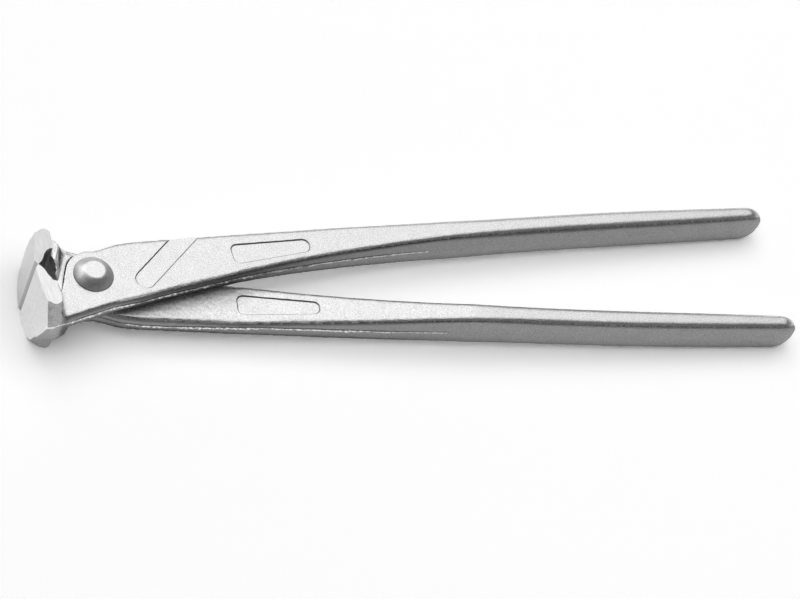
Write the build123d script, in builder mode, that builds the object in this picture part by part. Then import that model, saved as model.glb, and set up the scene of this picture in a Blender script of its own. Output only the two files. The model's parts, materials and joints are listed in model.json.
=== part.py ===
from build123d import *
import math
import os

# Rebar tying pliers: two forged halves that cross in a lap joint, held by one rivet.
# The tool lies on its side. The origin is under its middle, level with the lowest end of the jaws.
# +X runs along the handles, +Y is the side of the upper half's handle, +Z is up the rivet.
# Each piece is worked out about the rivet's axis and the plane where the two cheeks meet,
# and is then set down in its place. The lower half is the upper half turned half a turn about X.
# All lengths are in millimetres and all angles in degrees.

# Overall sizes
nose_reach = 19.0
handle_reach = 230.6
handle_spread = 23.6
jaw_breadth = 16.7
jaw_height = 25.2

# Lap joint. Its angles are taken about the rivet's axis, from +X.
cheek_thickness = 6.6
lap_gap = 0.06
joint_radius = 8.5
joint_start_angle = 84.0
joint_end_angle = 165.0
across_angle = 90.0
shoulder_gap = 0.16
shoulder_start_angle = 124.0
shoulder_end_angle = 170.0

# Jaws
front_radius = 49.0
edge_set_back = 0.85
edge_land = 0.2
edge_gap = 0.06
seam_groove = 0.85
back_fillet_height = 3.0
plateau_height = 9.0
plateau_fillet = 1.2
slope_run = 2.1
slope_angle = 70.7

# Forging
forging_ridge = 0.55
edge_rounding = 2.5
widest_rounding_share = 0.42
tip_length = 6.4

# Rivet
shank_radius = 4.0
shank_clearance = 0.05
head_radius = 6.2
head_flat_radius = 3.35
head_height = 2.8
head_bulge = 0.3
head_gap = 0.03

# Recessed panels on the outer faces
panel_depth = 0.4
panel_draft_angle = 45.0
slot_width = 6.2
slot_length = 30.0
slot_angle = 45.4
slot_corner = 2.7
panel_corner = 1.9

# Cutters run past what they cut by this much
overrun = 2.0

# Sizes that follow from the ones above
jaw_half = jaw_height / 2
ridge_height = cheek_thickness / 2
lap_face = lap_gap / 2
shoulder_radius = joint_radius + shoulder_gap
edge_reach = nose_reach - edge_set_back
seam = edge_gap / 2

# Stations along a handle. Shares: place along handle_reach, outer wall and inner wall across
# handle_spread, edge rounding of edge_rounding, and how far the wall's top and bottom edges stand
# out to the forging line, of forging_ridge.
handle_shares = (
    (0.065, 0.475, -0.305, 0.16, 0.85),
    (0.108, 0.506, -0.190, 0.20, 0.85),
    (0.155, 0.541, -0.078, 0.22, 0.85),
    (0.200, 0.576, 0.030, 0.24, 0.85),
    (0.280, 0.627, 0.201, 0.28, 0.85),
    (0.350, 0.674, 0.324, 0.32, 0.85),
    (0.432, 0.728, 0.439, 0.46, 0.75),
    (0.518, 0.795, 0.528, 0.70, 0.45),
    (0.650, 0.877, 0.617, 0.88, 0.15),
    (0.800, 0.953, 0.699, 0.90, 0.10),
    (0.905, 0.983, 0.752, 0.88, 0.05),
    (0.972, 0.999, 0.793, 0.84, 0.00),
)
lap_end_row = 3
ramp_end_row = 7
root_x = handle_shares[0][0] * handle_reach
lap_end = handle_shares[lap_end_row][0] * handle_reach
ramp_end = handle_shares[ramp_end_row][0] * handle_reach

# How far along the rounded tip each section stands, as a share of its length
tip_shares = (0.0, 0.55, 0.82, 0.95)

# From the rivet's axis and the lap plane to where the pieces lie
tip_x = handle_shares[-1][0] * handle_reach + tip_shares[-1] * tip_length
set_down = Location(((nose_reach - tip_x) / 2, 0, jaw_half))

# Outline of the jaw and neck at each level, from the front corner round the outer wall to the back.
# Shares of nose_reach along X and of jaw_breadth across Y.
jaw_shares = {
    "top": (
        (-0.905, -0.754), (-0.784, -0.850), (-0.705, -0.814),
        (-0.668, -0.749), (-0.665, -0.720), (-0.663, -0.689),
    ),
    "cheek": (
        (-0.905, -0.898), (-0.784, -0.947), (-0.621, -0.916),
        (-0.458, -0.862), (-0.320, -0.807), (-0.184, -0.751),
    ),
    "ridge": (
        (-0.905, -0.970), (-0.784, -1.000), (-0.621, -0.943),
        (-0.458, -0.895), (-0.320, -0.843), (-0.184, -0.790),
    ),
    "neck": (
        (-0.905, -0.842), (-0.784, -0.894), (-0.621, -0.892),
        (-0.458, -0.817), (-0.384, -0.737), (-0.245, -0.550),
    ),
    "shelf": (
        (-0.905, -0.778), (-0.784, -0.841), (-0.621, -0.743),
        (-0.520, -0.600), (-0.458, -0.479), (-0.237, -0.395),
    ),
    "plateau": (
        (-0.905, -0.725), (-0.784, -0.802), (-0.610, -0.659),
        (-0.547, -0.623), (-0.511, -0.557), (-0.489, -0.491),
    ),
    "bottom": (
        (-0.905, -0.653), (-0.760, -0.749), (-0.700, -0.719),
        (-0.674, -0.659), (-0.672, -0.600), (-0.671, -0.539),
    ),
}

# The upper half is fuller at the foot of its jaw
full_shares = {
    "shelf": (
        (-0.905, -0.778), (-0.784, -0.841), (-0.621, -0.832),
        (-0.530, -0.770), (-0.463, -0.610), (-0.237, -0.395),
    ),
    "plateau": (
        (-0.905, -0.725), (-0.784, -0.802), (-0.640, -0.790),
        (-0.537, -0.720), (-0.500, -0.630), (-0.489, -0.491),
    ),
    "bottom": (
        (-0.890, -0.645), (-0.790, -0.749), (-0.710, -0.772),
        (-0.647, -0.766), (-0.603, -0.719), (-0.592, -0.600),
    ),
}
jaw_levels = {
    "top": jaw_half,
    "cheek": cheek_thickness,
    "ridge": ridge_height,
    "neck": -ridge_height,
    "shelf": -cheek_thickness,
    "plateau": -plateau_height,
    "bottom": -jaw_half,
}
front_side_share = 1.15
front_drop_share = 0.2
crossing_share = 0.42

# The eye behind the cutting edges, seen along Z. Shares of nose_reach and jaw_breadth.
bevel_shares = ((-0.895, -0.066), (-0.863, -0.126), (-0.826, -0.228), (-0.779, -0.299))
upper_eye_shares = ((-0.716, -0.341),)
lower_eye_shares = (
    (-0.716, -0.353), (-0.663, -0.311), (-0.632, -0.216), (-0.616, -0.090), (-0.632, 0.030),
)
notch_share = (-0.568, -0.365)

# Where the back of the jaw, the foot of the slope and the far cheek edge stand
back_top_share = -0.668
back_low_share = -0.634
back_foot_share = -0.542
plateau_back_share = -0.671
full_plateau_back_share = -0.600
plateau_fillet_share = 0.034
slope_foot_share = (-0.500, -0.198)
cheek_side_share = (0.60, 0.92)
cheek_near_share = (0.44, 1.264)

# Panels: places along handle_reach and across handle_spread
slot_foot_share = (0.0622, -0.158)
upper_panel_shares = ((0.193, 0.441), (0.196, 0.123), (0.304, 0.318), (0.305, 0.517))
lower_panel_shares = ((0.197, -0.148), (0.195, -0.466), (0.306, -0.538), (0.308, -0.347))


def on_circle(radius, angle):
    """Point at a radius and an angle about the rivet's axis."""
    return (radius * math.cos(math.radians(angle)), radius * math.sin(math.radians(angle)))


def at_jaw(share):
    """Point given in shares of the jaw's reach and breadth."""
    return (share[0] * nose_reach, share[1] * jaw_breadth)


def at_handle(share):
    """Point given in shares of the handle's reach and spread."""
    return (share[0] * handle_reach, share[1] * handle_spread)


def mirrored(point):
    """The same point on the other side of the centre line."""
    return (point[0], -point[1])


def handle_section(row, forward=0.0, size=1.0):
    """Cross-section of the handle at one station: flat top and bottom, rounded edges, and walls
    that lean out to the forging line half-way up. It can be moved forward and made smaller."""
    x = handle_shares[row][0] * handle_reach
    outer = handle_shares[row][1] * handle_spread
    inner = handle_shares[row][2] * handle_spread
    middle = (outer + inner) / 2
    half_width = (outer - inner) / 2
    drop = min(max((x - lap_end) / (ramp_end - lap_end), 0), 1)
    low = lap_face - drop * (cheek_thickness + lap_face)
    centre = (cheek_thickness + low) / 2
    half_height = (cheek_thickness - low) / 2
    edge_half_width = half_width + handle_shares[row][4] * forging_ridge
    smallest = min(edge_half_width, half_height)
    rounding = min(handle_shares[row][3] * edge_rounding, 2 * widest_rounding_share * smallest)
    plane = Plane(origin=(x + forward, middle, centre), x_dir=(0, 1, 0), z_dir=(1, 0, 0))
    wall = edge_half_width * size
    ridge = (half_width + forging_ridge) * size
    height = half_height * size
    with BuildSketch(plane) as section:
        with BuildLine():
            Polyline(
                (wall, height), (ridge, 0), (wall, -height),
                (-wall, -height), (-ridge, 0), (-wall, height),
                close=True,
            )
        make_face()
        corners = section.vertices().group_by(Axis.Y)
        fillet(corners[0] + corners[-1], rounding * size)
    return section.sketch


def jaw_section(level, shares):
    """Outline of the jaw and neck at one level."""
    outer = [at_jaw(share) for share in shares[level]]
    front = -front_side_share * nose_reach
    front_outer = outer[0][1] + front_drop_share * jaw_breadth
    crossing = crossing_share * jaw_breadth
    with BuildSketch(Plane.XY.offset(jaw_levels[level])) as section:
        with BuildLine():
            Polyline(
                (front, crossing), (front, front_outer), *outer, (outer[-1][0], crossing),
                close=True,
            )
        make_face()
    return section.sketch


def cheek_section(height, level):
    """Outline of the cheek at one height: the round about the rivet, then the forged walls."""
    lean = forging_ridge if level == "ridge" else handle_shares[0][4] * forging_ridge
    far_x = cheek_side_share[0] * root_x
    root_outer = handle_shares[0][1] * handle_spread
    root_inner = handle_shares[0][2] * handle_spread
    near_x = cheek_near_share[0] * root_x
    near_y = cheek_near_share[1] * root_inner - lean
    start = on_circle(joint_radius, joint_end_angle)
    top = on_circle(joint_radius, (joint_start_angle + joint_end_angle) / 2)
    end = on_circle(joint_radius, joint_start_angle)
    with BuildSketch(Plane.XY.offset(height)) as section:
        with BuildLine():
            ThreePointArc(start, top, end)
            Polyline(
                end,
                (far_x, cheek_side_share[1] * root_outer + lean),
                (root_x, root_outer + lean),
                (root_x, root_inner - lean),
                (near_x, near_y),
                at_jaw(jaw_shares[level][5]),
                at_jaw(jaw_shares[level][4]),
                at_jaw(jaw_shares[level][3]),
                at_jaw(notch_share),
                start,
            )
        make_face()
    return section.sketch


def forged_half(bore_radius, shares, plateau_back_place):
    """One half of the pliers, as the upper one lies: cheek above the lap face, handle at +Y, jaw at -Y."""
    strike = math.radians(slope_angle)
    across = (math.sin(strike), math.cos(strike), 0)
    along = (math.cos(strike), -math.sin(strike), 0)
    slope_foot = at_jaw(slope_foot_share)
    slope_plane = Plane(origin=(slope_foot[0], slope_foot[1], 0), x_dir=across, z_dir=along)
    back_top = back_top_share * nose_reach
    back_low = (back_low_share * nose_reach, cheek_thickness + back_fillet_height)
    back_foot = (back_foot_share * nose_reach, cheek_thickness)
    plateau_back = (plateau_back_place * nose_reach, -plateau_height - plateau_fillet)
    plateau_foot = ((plateau_back_place + plateau_fillet_share) * nose_reach, -plateau_height)
    above = jaw_half + overrun
    front = -front_side_share * nose_reach
    side = front_side_share * jaw_breadth
    edge = [
        (front, -seam - seam_groove),
        (-nose_reach, -seam - seam_groove),
        (-edge_reach - edge_land / 2, -seam),
        (-edge_reach + edge_land / 2, -seam),
    ]
    bevel = [at_jaw(share) for share in bevel_shares]
    notch = at_jaw(notch_share)
    low_notch = mirrored(notch)

    with BuildPart() as half:
        # Handle, in spans that share their end sections
        loft([handle_section(row) for row in range(0, lap_end_row + 1)])
        loft([handle_section(row) for row in range(lap_end_row, ramp_end_row + 1)])
        loft([handle_section(row) for row in range(ramp_end_row, len(handle_shares))])
        last = len(handle_shares) - 1
        loft([
            handle_section(last, share * tip_length, math.sqrt(1 - share**2))
            for share in tip_shares
        ])

        # Cheek, and the block that holds the jaw and neck
        cheek_levels = ((lap_face, "cheek"), (ridge_height, "ridge"), (cheek_thickness, "cheek"))
        loft([cheek_section(height, level) for height, level in cheek_levels], ruled=True)
        loft([jaw_section(level, shares) for level in jaw_levels], ruled=True)

        # Back wall of the jaw above the cheek, with its hollow fillet
        with BuildSketch(Plane.XZ):
            with BuildLine():
                TangentArc(back_foot, back_low, tangent=(-1, 0))
                Polyline(
                    back_low, (back_top, jaw_half), (back_top, above),
                    (0, above), (0, cheek_thickness), back_foot,
                )
            make_face()
        extrude(amount=side, both=True, mode=Mode.SUBTRACT)

        # Back wall of the jaw below the neck's plateau
        with BuildSketch(Plane.XZ):
            with BuildLine():
                TangentArc(plateau_foot, plateau_back, tangent=(-1, 0))
                Polyline(
                    plateau_back, (plateau_back[0], -above), (0, -above),
                    (0, -plateau_height), plateau_foot,
                )
            make_face()
        extrude(amount=side, both=True, mode=Mode.SUBTRACT)

        # Slope from the plateau up to the shelf that lies flush with the other cheek
        with BuildSketch(slope_plane):
            with BuildLine():
                Polyline(
                    (0, -cheek_thickness),
                    (-slope_run, -plateau_height),
                    (-slope_run, -above),
                    (nose_reach, -above),
                    (nose_reach, -cheek_thickness),
                    close=True,
                )
            make_face()
        extrude(amount=side, both=True, mode=Mode.SUBTRACT)

        # Seam, cutting edge, eye and the round front of the cheek, above the lap plane
        with BuildSketch(Plane.XY.offset(-lap_face)):
            with BuildLine():
                Polyline(
                    (0, side), (front, side), *edge, *bevel,
                    *[at_jaw(share) for share in upper_eye_shares], notch,
                    on_circle(joint_radius, joint_end_angle),
                )
                ThreePointArc(
                    on_circle(joint_radius, joint_end_angle),
                    on_circle(joint_radius, (joint_end_angle + across_angle) / 2),
                    on_circle(joint_radius, across_angle),
                )
                Line(on_circle(joint_radius, across_angle), (0, side))
            make_face()
        extrude(amount=above, mode=Mode.SUBTRACT)

        # Seam, cutting edge and eye below the lap plane
        with BuildSketch(Plane.XY.offset(-lap_face)):
            with BuildLine():
                Polyline(
                    (low_notch[0], side), (front, side), *edge, *bevel,
                    *[at_jaw(share) for share in lower_eye_shares], low_notch, (low_notch[0], side),
                )
            make_face()
        extrude(amount=-above, mode=Mode.SUBTRACT)

        # Pocket for the other half's cheek, with the round shoulder about the rivet
        with BuildSketch(Plane.XY.offset(lap_face)):
            with BuildLine():
                Polyline(
                    on_circle(shoulder_radius, -shoulder_start_angle),
                    on_circle(shoulder_radius + side, -shoulder_start_angle),
                    (0, -side), (0, side), (low_notch[0], side), low_notch,
                    on_circle(shoulder_radius, -shoulder_end_angle),
                )
                ThreePointArc(
                    on_circle(shoulder_radius, -shoulder_end_angle),
                    on_circle(shoulder_radius, -(shoulder_start_angle + shoulder_end_angle) / 2),
                    on_circle(shoulder_radius, -shoulder_start_angle),
                )
            make_face()
        extrude(amount=-above, mode=Mode.SUBTRACT)

        # Ground front of the jaw
        with BuildSketch(Plane.XY.offset(-above)):
            with Locations(((front - nose_reach) / 2, 0)):
                Rectangle(nose_reach, 2 * side)
            with Locations((front_radius - nose_reach, 0)):
                Circle(front_radius, mode=Mode.SUBTRACT)
        extrude(amount=2 * above, mode=Mode.SUBTRACT)

        # Rivet bore
        with Locations((0, 0, ridge_height)):
            Hole(bore_radius, depth=cheek_thickness)
    return half.part


# Upper half, free to turn on the rivet
with BuildPart() as upper_forging:
    add(forged_half(shank_radius + shank_clearance, jaw_shares | full_shares, full_plateau_back_share))
    # Open-ended slot across the cheek, and a panel along the handle
    slot_line = (math.cos(math.radians(slot_angle)), math.sin(math.radians(slot_angle)), 0)
    slot_plane = Plane(origin=(*at_handle(slot_foot_share), cheek_thickness), x_dir=slot_line)
    with BuildSketch(slot_plane) as slot:
        with Locations((slot_length / 2, 0)):
            Rectangle(slot_length, slot_width)
        fillet(slot.vertices().group_by(Axis.X)[0], slot_corner)
    extrude(amount=-panel_depth, taper=panel_draft_angle, mode=Mode.SUBTRACT)
    with BuildSketch(Plane.XY.offset(cheek_thickness)) as upper_panel:
        with BuildLine():
            Polyline(*[at_handle(share) for share in upper_panel_shares], close=True)
        make_face()
        fillet(upper_panel.vertices(), panel_corner)
    extrude(amount=-panel_depth, taper=panel_draft_angle, mode=Mode.SUBTRACT)

with BuildPart() as upper_half:
    with Locations(set_down):
        add(upper_forging.part)
upper_half.part.label = "upper_half"

# Lower half, which holds the rivet fast
with BuildPart() as lower_forging:
    add(forged_half(shank_radius, jaw_shares, plateau_back_share), rotation=(180, 0, 0))
    # Panel on the ramp, which rises from the lap plane to the full thickness of the handle
    ramp_run = ramp_end - lap_end
    ramp_rise = cheek_thickness + lap_face
    up_ramp = (ramp_run, 0, ramp_rise)
    off_ramp = (-ramp_rise, 0, ramp_run)
    with BuildSketch(Plane(origin=(lap_end, 0, -lap_face), x_dir=up_ramp, z_dir=off_ramp)) as lower_panel:
        with BuildLine():
            corners = [at_handle(share) for share in lower_panel_shares]
            Polyline(*[(corner[0] - lap_end, corner[1]) for corner in corners], close=True)
        make_face()
        fillet(lower_panel.vertices(), panel_corner)
    extrude(amount=panel_depth, both=True, taper=panel_draft_angle, mode=Mode.SUBTRACT)

with BuildPart() as lower_half:
    with Locations(set_down):
        add(lower_forging.part)
lower_half.part.label = "lower_half"

# Rivet: a shank with a domed, flat-topped head at each end
upper_seat = cheek_thickness + head_gap
upper_top = upper_seat + head_height
lower_top = cheek_thickness + head_height
middle_radius = (head_radius + head_flat_radius) / 2 + head_bulge
with BuildPart() as rivet_blank:
    with BuildSketch(Plane.XZ):
        with BuildLine():
            Polyline((0, upper_top), (head_flat_radius, upper_top))
            ThreePointArc(
                (head_flat_radius, upper_top),
                (middle_radius, upper_seat + head_height / 2 + head_bulge),
                (head_radius, upper_seat),
            )
            Polyline(
                (head_radius, upper_seat), (shank_radius, upper_seat),
                (shank_radius, -cheek_thickness), (head_radius, -cheek_thickness),
            )
            ThreePointArc(
                (head_radius, -cheek_thickness),
                (middle_radius, -cheek_thickness - head_height / 2 - head_bulge),
                (head_flat_radius, -lower_top),
            )
            Polyline((head_flat_radius, -lower_top), (0, -lower_top), (0, upper_top))
        make_face()
    revolve(axis=Axis.Z)

with BuildPart() as rivet:
    with Locations(set_down):
        add(rivet_blank.part)
rivet.part.label = "rivet"

os.makedirs("parts", exist_ok=True)
export_step(upper_half.part, "parts/upper_half.step")
export_step(lower_half.part, "parts/lower_half.step")
export_step(rivet.part, "parts/rivet.step")
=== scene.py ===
# %% [markdown]
# Rebar tying pliers, as a lesson in cells. The real tool is two drop forgings that cross in a lap
# joint and turn on one rivet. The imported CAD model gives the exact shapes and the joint; this script
# makes the steel look as it does after the real steps: forged, trimmed, blasted, stamped and ground.
# Everything is worked out in millimetres about the rivet and then set in metres.

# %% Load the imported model
import json
import math
import bpy
import bmesh
import numpy as np
from mathutils import Matrix


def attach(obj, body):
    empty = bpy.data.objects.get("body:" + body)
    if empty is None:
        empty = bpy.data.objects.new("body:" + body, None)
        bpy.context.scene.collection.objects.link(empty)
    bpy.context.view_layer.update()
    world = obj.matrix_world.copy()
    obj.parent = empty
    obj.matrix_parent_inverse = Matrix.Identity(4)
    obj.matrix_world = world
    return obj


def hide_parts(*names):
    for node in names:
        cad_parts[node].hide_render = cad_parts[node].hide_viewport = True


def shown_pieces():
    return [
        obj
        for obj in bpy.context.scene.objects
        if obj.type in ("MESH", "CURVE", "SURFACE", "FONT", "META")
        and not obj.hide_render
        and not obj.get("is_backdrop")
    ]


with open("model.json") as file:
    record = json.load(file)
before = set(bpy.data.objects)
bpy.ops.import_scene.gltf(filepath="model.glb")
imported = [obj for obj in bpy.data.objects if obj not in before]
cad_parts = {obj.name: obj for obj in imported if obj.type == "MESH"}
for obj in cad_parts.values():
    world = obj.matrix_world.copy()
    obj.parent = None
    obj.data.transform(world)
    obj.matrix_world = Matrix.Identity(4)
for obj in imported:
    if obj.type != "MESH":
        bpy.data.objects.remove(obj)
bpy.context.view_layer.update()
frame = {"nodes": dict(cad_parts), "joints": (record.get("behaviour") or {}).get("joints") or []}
rivet_centre = np.array(frame["joints"][0]["pos_m"], float)
millimetre = 0.001
print("pieces in the CAD model:", sorted(frame["nodes"]))

# %% [markdown]
# Meshes travel between Blender and numpy as whole arrays. The helpers below read a mesh into
# millimetres about the rivet, write points back in metres, and turn a grid of points into a closed
# surface. Points closer than the weld distance, in metres, become one. Every object stays at the
# origin, so its place is in its mesh, as it is for CAD pieces.

# %% Arrays in, surfaces out
weld = 1e-7


def points_of(mesh):
    """Vertex places in millimetres from the rivet's centre."""
    flat = np.empty(len(mesh.vertices) * 3)
    mesh.vertices.foreach_get("co", flat)
    return (flat.reshape(-1, 3) - rivet_centre) / millimetre


def place_points(mesh, points):
    """Writes millimetres from the rivet's centre back as metres in the frame."""
    mesh.vertices.foreach_set("co", (points * millimetre + rivet_centre).ravel())
    mesh.update()


def smooth_step(low, high, value):
    """0 at low, 1 at high, held beyond both, and an even S-curve, 3t^2 - 2t^3, in between."""
    t = np.clip((value - low) / (high - low), 0, 1)
    return t * t * (3 - 2 * t)


def grid_mesh(name, rows):
    """Mesh of a grid of points, rows by columns by 3. The columns join round, and a first or last
    row whose points are all one closes to a pole."""
    count, around = rows.shape[:2]
    place = np.arange(count * around).reshape(count, around)
    beside = np.roll(place, -1, axis=1)
    quads = np.stack([place[:-1], beside[:-1], beside[1:], place[1:]], axis=-1).reshape(-1, 4)
    mesh = bpy.data.meshes.new(name)
    mesh.from_pydata((rows.reshape(-1, 3) * millimetre + rivet_centre).tolist(), [], quads.tolist())
    sheet = bmesh.new()
    sheet.from_mesh(mesh)
    bmesh.ops.remove_doubles(sheet, verts=sheet.verts, dist=weld)
    bmesh.ops.recalc_face_normals(sheet, faces=sheet.faces)
    sheet.to_mesh(mesh)
    sheet.free()
    return mesh


def add_piece(name, mesh):
    """New object that shows a mesh, smoothly shaded."""
    mesh.shade_smooth()
    piece = bpy.data.objects.new(name, mesh)
    bpy.context.scene.collection.objects.link(piece)
    return piece


def closed_rows(rings):
    """Rings of points with the middle of the first and of the last added as poles."""
    rings = np.array(rings, float)
    first = np.broadcast_to(rings[0].mean(axis=0), rings[0].shape)
    last = np.broadcast_to(rings[-1].mean(axis=0), rings[0].shape)
    return np.concatenate([first[None], rings, last[None]])


print("one unit in the mesh arrays is one millimetre from the rivet")

# %% [markdown]
# The two halves are one shape, the lower turned half a turn about the tool's length. So both are
# described as the upper half lies, and turned(points, side) takes points there and back. The sizes
# below are the tool's own, as in its CAD model.

# %% The tool's own sizes
nose_reach = 19.0
jaw_breadth = 16.7
jaw_half = 12.6
front_radius = 49.0
cheek_thickness = 6.6
handle_reach = 230.6
handle_spread = 23.6
lap_face = 0.03
lap_end = 0.2 * handle_reach
ramp_end = 0.518 * handle_reach
ramp_fall = (cheek_thickness + lap_face) / (ramp_end - lap_end)
panel_depth = 0.4
half_side = {"upper_half": 1, "lower_half": -1}


def turned(points, side):
    """Half a turn about X for the lower half, side -1, and nothing for the upper half, side 1."""
    return points * np.array([1.0, side, side])


def underside(x):
    """Height of the handle's lap side: level with the lap plane, then down the ramp."""
    return lap_face - ramp_fall * (np.clip(x, lap_end, ramp_end) - lap_end)


print("the ramp falls", round(ramp_fall * 1000, 1), "mm in a metre")

# %% [markdown]
# Three recesses are stamped: a slot and a panel into the upper half's outer face, and a panel into
# the ramp of the lower half's handle. They are bare, and their walls slope at 45 degrees. Each is a
# four-sided outline with round corners. They are described first, because the blank below is filled
# up where they will be stamped.

# %% Outlines of the stamped recesses
slot_turn = math.radians(45.4)
slot_along = np.array([math.cos(slot_turn), math.sin(slot_turn)])
slot_across = np.array([-math.sin(slot_turn), math.cos(slot_turn)])
slot_foot = np.array([0.0622 * handle_reach, -0.158 * handle_spread])
slot_ends = (-0.7, 30.0)
slot_sides = (-3.1, 3.5)
slot = np.array([
    slot_foot + slot_along * slot_ends[end] + slot_across * slot_sides[side]
    for end, side in ((0, 0), (1, 0), (1, 1), (0, 1))
])
handle_size = np.array([handle_reach, handle_spread])
upper_panel = np.array([(0.1917, 0.441), (0.195, 0.123), (0.305, 0.318), (0.306, 0.526)]) * handle_size
lower_panel = np.array([(0.197, 0.148), (0.195, 0.466), (0.3065, 0.538), (0.3087, 0.347)]) * handle_size
slot_corner = 3.0
upper_panel_corner = 2.3
lower_panel_corner = 2.2
recesses = {
    "upper_half": ((slot, slot_corner), (upper_panel, upper_panel_corner)),
    "lower_half": ((lower_panel, lower_panel_corner),),
}


def beyond_outline(xy, corners):
    """How far each point lies beyond the sides of a convex outline; negative inside it."""
    side = np.roll(corners, -1, axis=0) - corners
    away = np.stack([side[:, 1], -side[:, 0]], axis=1) / np.linalg.norm(side, axis=1)[:, None]
    middle = corners.mean(axis=0)
    away *= np.sign(((corners - middle) * away).sum(axis=1))[:, None]
    return ((xy[:, None, :] - corners[None]) * away[None]).sum(axis=-1).max(axis=1)


print("recesses:", {name: len(outlines) for name, outlines in recesses.items()})

# %% [markdown]
# A forging is made larger than needed where it will be ground, and the surplus is the grinding
# stock. The blank here gets the same: the CAD surface is copied, its jaw ends, jaw front and cutting
# edges are moved out, and its recesses are filled. The grinding and stamping then cut crisp edges
# into the rounded forging, in the same order as in the works. A point counts as lying on a face when
# it is no further from it than the small distances named here.

# %% Forging blank
grinding_stock = 1.2
front_centre = front_radius - nose_reach
jaw_back = -13.65
front_begins = -10
edge_begins = -5.3
back_set_back = 0.3
eye_set_back = 1.0
eye_side = (-12.4, -5.8)
on_end = 0.01
on_arc = 0.02
on_floor = 0.1
by_outline = 0.05


def as_blank(p, name):
    """Points of a CAD half, moved out where stock is left: along the radius on the jaw's front,
    along the rivet on its ends, across on its cutting edge, and up to the face in a recess. The top
    of the jaw's back wall is set back a little, most by the eye."""
    blank = p.copy()
    at_back = (p[:, 2] > jaw_half - on_end) & (p[:, 0] > jaw_back)
    blank[:, 0] -= np.where(at_back, back_set_back + eye_set_back * smooth_step(*eye_side, p[:, 1]), 0)
    away = np.hypot(p[:, 0] - front_centre, p[:, 1])
    on_front = (np.abs(away - front_radius) < on_arc) & (p[:, 0] < front_begins)
    blank[:, 0] += np.where(on_front, (p[:, 0] - front_centre) * grinding_stock / front_radius, 0)
    blank[:, 1] += np.where(on_front, p[:, 1] * grinding_stock / front_radius, 0)
    blank[:, 1] += np.where((p[:, 0] < jaw_back) & (p[:, 1] > edge_begins), grinding_stock, 0)
    blank[:, 2] += np.where(np.abs(p[:, 2]) > jaw_half - on_end, np.sign(p[:, 2]) * grinding_stock, 0)
    for outline, _ in recesses[name]:
        inside = beyond_outline(p[:, :2], outline) < by_outline
        if name == "upper_half":
            sunk = inside & (np.abs(p[:, 2] - cheek_thickness + panel_depth) < on_floor)
            blank[sunk, 2] = cheek_thickness
        else:
            below = p[:, 2] - underside(p[:, 0])
            sunk = inside & (below > by_outline) & (below < 2 * panel_depth)
            blank[sunk, 2] = underside(p[sunk, 0])
    return blank


def shell_of(node, name):
    """CAD surface as one closed mesh with its stock on: a copy whose loose corners are merged."""
    merged = bmesh.new()
    merged.from_mesh(node.data)
    bmesh.ops.remove_doubles(merged, verts=merged.verts, dist=weld)
    shell = bpy.data.meshes.new(name + "_shell")
    merged.to_mesh(shell)
    merged.free()
    side = half_side[name]
    place_points(shell, turned(as_blank(turned(points_of(shell), side), name), side))
    return shell


shells = {name: shell_of(frame["nodes"][name], name) for name in half_side}
for name, shell in shells.items():
    print(name, "blank from", len(shell.polygons), "CAD faces")

# %% [markdown]
# Jaw, neck, cheek and handle are one skin, which no single grid of two parameters can follow. So
# the blank is redrawn as even small quads by a voxel remesh. Even quads are what the next steps
# need: rounding an edge is then the same as letting heat spread through the surface for a while.

# %% Redraw the blank as even quads
quad_width = 0.36


def evaluated(work, name):
    """Mesh that an object shows with its modifiers, as a mesh of its own. The object is removed."""
    seen = work.evaluated_get(bpy.context.evaluated_depsgraph_get())
    mesh = bpy.data.meshes.new_from_object(seen)
    mesh.name = name
    bpy.data.objects.remove(work)
    return mesh


def even_quads(shell, name):
    """Closed copy of a mesh in metres, in quads of one width in millimetres."""
    flat = points_of(shell)
    shell.vertices.foreach_set("co", flat.ravel())
    work = bpy.data.objects.new(name + "_work", shell)
    bpy.context.scene.collection.objects.link(work)
    quads = work.modifiers.new("even_quads", "REMESH")
    quads.mode = "VOXEL"
    quads.voxel_size = quad_width
    mesh = evaluated(work, name + "_skin")
    flat = np.empty(len(mesh.vertices) * 3)
    mesh.vertices.foreach_get("co", flat)
    place_points(mesh, flat.reshape(-1, 3))
    return mesh


skins = {name: even_quads(shell, name) for name, shell in shells.items()}
for name, skin in skins.items():
    print(name, "redrawn as", len(skin.polygons), "quads")

# %% [markdown]
# A drop forging has no sharp outer edge: the die wears, the flash is trimmed and the part is
# blasted. Heat-like smoothing, where each point moves half-way to the mean of its neighbours,
# rounds every edge at the same rate. A weight holds it back at the joint, whose faces are machined
# so that the halves run on each other, and round the eye behind the cutting edges. It holds it back
# in part on the neck, on the turned front of the cheek and on the grips. Each pair below is where a
# zone begins and where it is full, in millimetres.

# %% Round the forged edges
rounding_steps = 8
joint_radius = 8.5
eye_across = (-8.0, -6.5)
eye_along = (-9.2, -10.2)
lap_height = (1.4, 0.5)
lap_reach = (22.0, 12.0)
neck_height = (-1.0, -2.5)
neck_along = (-2.0, -4.0)
cheek_front_band = (1.6, 0.9)
cheek_front_end = 1
grip_along = (80, 120)
tip_along = (handle_reach - 6, handle_reach - 12)
neck_held = 0.75
cheek_held = 0.75
grip_held = 0.6


def neighbour_mean(points, edges, degree):
    """Mean place of the points that share an edge with each point."""
    mean = np.empty_like(points)
    for axis in range(3):
        mean[:, axis] = np.bincount(edges[:, 0], points[edges[:, 1], axis], len(points))
        mean[:, axis] += np.bincount(edges[:, 1], points[edges[:, 0], axis], len(points))
    return mean / degree[:, None]


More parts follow.
